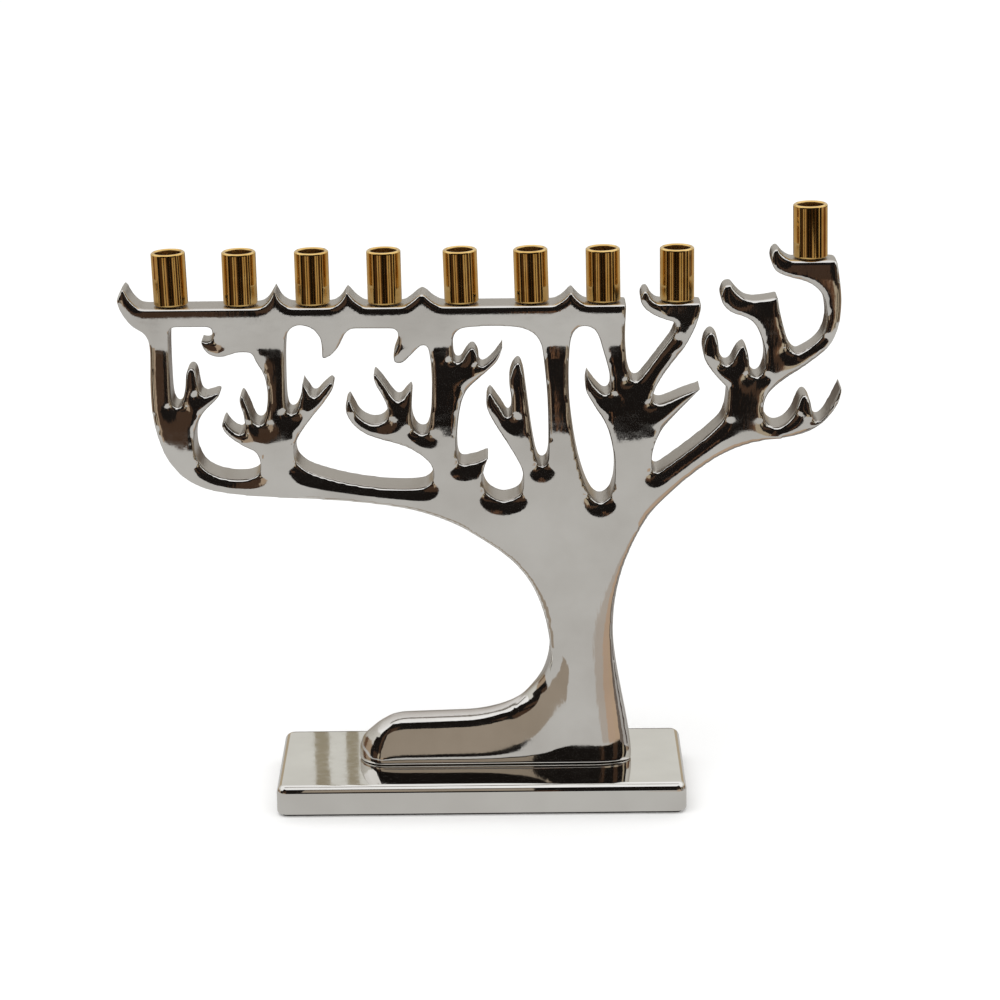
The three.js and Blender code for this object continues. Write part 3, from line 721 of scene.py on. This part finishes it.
def polished_plate():
    """Bright plate: nearly a mirror on top, with faint buffing waves and handling marks."""
    material, nodes, links, principled = shader("polished_plate")
    place = nodes.new("ShaderNodeTexCoord").outputs["Object"]
    waves = nodes.new("ShaderNodeTexNoise")
    waves.inputs["Scale"].default_value = 38
    waves.inputs["Detail"].default_value = 2
    links.new(place, waves.inputs["Vector"])
    marks = nodes.new("ShaderNodeTexNoise")
    marks.inputs["Scale"].default_value = 420
    marks.inputs["Detail"].default_value = 5
    links.new(place, marks.inputs["Vector"])
    tone = nodes.new("ShaderNodeValToRGB")
    tone.color_ramp.elements[0].position = 0.35
    tone.color_ramp.elements[0].color = (0.74, 0.725, 0.70, 1)
    tone.color_ramp.elements[1].position = 0.7
    tone.color_ramp.elements[1].color = (0.80, 0.79, 0.765, 1)
    links.new(waves.outputs["Fac"], tone.inputs["Fac"])
    links.new(tone.outputs["Color"], principled.inputs["Base Color"])
    principled.inputs["Metallic"].default_value = 1.0
    gloss = nodes.new("ShaderNodeMapRange")
    gloss.inputs["From Min"].default_value = 0.3
    gloss.inputs["From Max"].default_value = 0.75
    gloss.inputs["To Min"].default_value = 0.025
    gloss.inputs["To Max"].default_value = 0.075
    links.new(marks.outputs["Fac"], gloss.inputs["Value"])
    links.new(gloss.outputs["Result"], principled.inputs["Roughness"])
    broad = nodes.new("ShaderNodeBump")
    broad.inputs["Strength"].default_value = 0.25
    broad.inputs["Distance"].default_value = 0.00015
    links.new(waves.outputs["Fac"], broad.inputs["Height"])
    fine = nodes.new("ShaderNodeBump")
    fine.inputs["Strength"].default_value = 0.15
    fine.inputs["Distance"].default_value = 0.000002
    links.new(marks.outputs["Fac"], fine.inputs["Height"])
    links.new(broad.outputs["Normal"], fine.inputs["Normal"])
    links.new(fine.outputs["Normal"], principled.inputs["Normal"])
    return material


base.data.materials.append(polished_plate())
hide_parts("base_plate")
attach(base, "root")

# ---------------------------------------------------------------------------------------------
# Two socket head screws with split washers come up through the plate into the tree's foot.
# They are plain steel, and the felt covers them.
for side in ("left", "right"):
    for kind in ("base_screw", "base_washer"):
        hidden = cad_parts[f"{kind}_{side}"]
        hidden.data.materials.clear()
        hidden.data.materials.append(steel)

# ---------------------------------------------------------------------------------------------
# The felt pad is die-cut wool felt, glued to the underside of the plate to keep it from
# scratching a table.
def wool_felt():
    """Dark pressed wool: matted fibres with a soft sheen."""
    material, nodes, links, principled = shader("wool_felt")
    place = nodes.new("ShaderNodeTexCoord").outputs["Object"]
    fibres = nodes.new("ShaderNodeTexNoise")
    fibres.inputs["Scale"].default_value = 1800
    fibres.inputs["Detail"].default_value = 6
    fibres.inputs["Distortion"].default_value = 1.5
    links.new(place, fibres.inputs["Vector"])
    tone = nodes.new("ShaderNodeValToRGB")
    tone.color_ramp.elements[0].color = (0.012, 0.011, 0.010, 1)
    tone.color_ramp.elements[1].color = (0.06, 0.056, 0.05, 1)
    links.new(fibres.outputs["Fac"], tone.inputs["Fac"])
    links.new(tone.outputs["Color"], principled.inputs["Base Color"])
    principled.inputs["Roughness"].default_value = 0.95
    principled.inputs["Sheen Weight"].default_value = 0.4
    bump = nodes.new("ShaderNodeBump")
    bump.inputs["Strength"].default_value = 0.8
    bump.inputs["Distance"].default_value = 0.0002
    links.new(fibres.outputs["Fac"], bump.inputs["Height"])
    links.new(bump.outputs["Normal"], principled.inputs["Normal"])
    return material


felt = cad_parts["felt_pad"]
felt.data.materials.clear()
felt.data.materials.append(wool_felt())
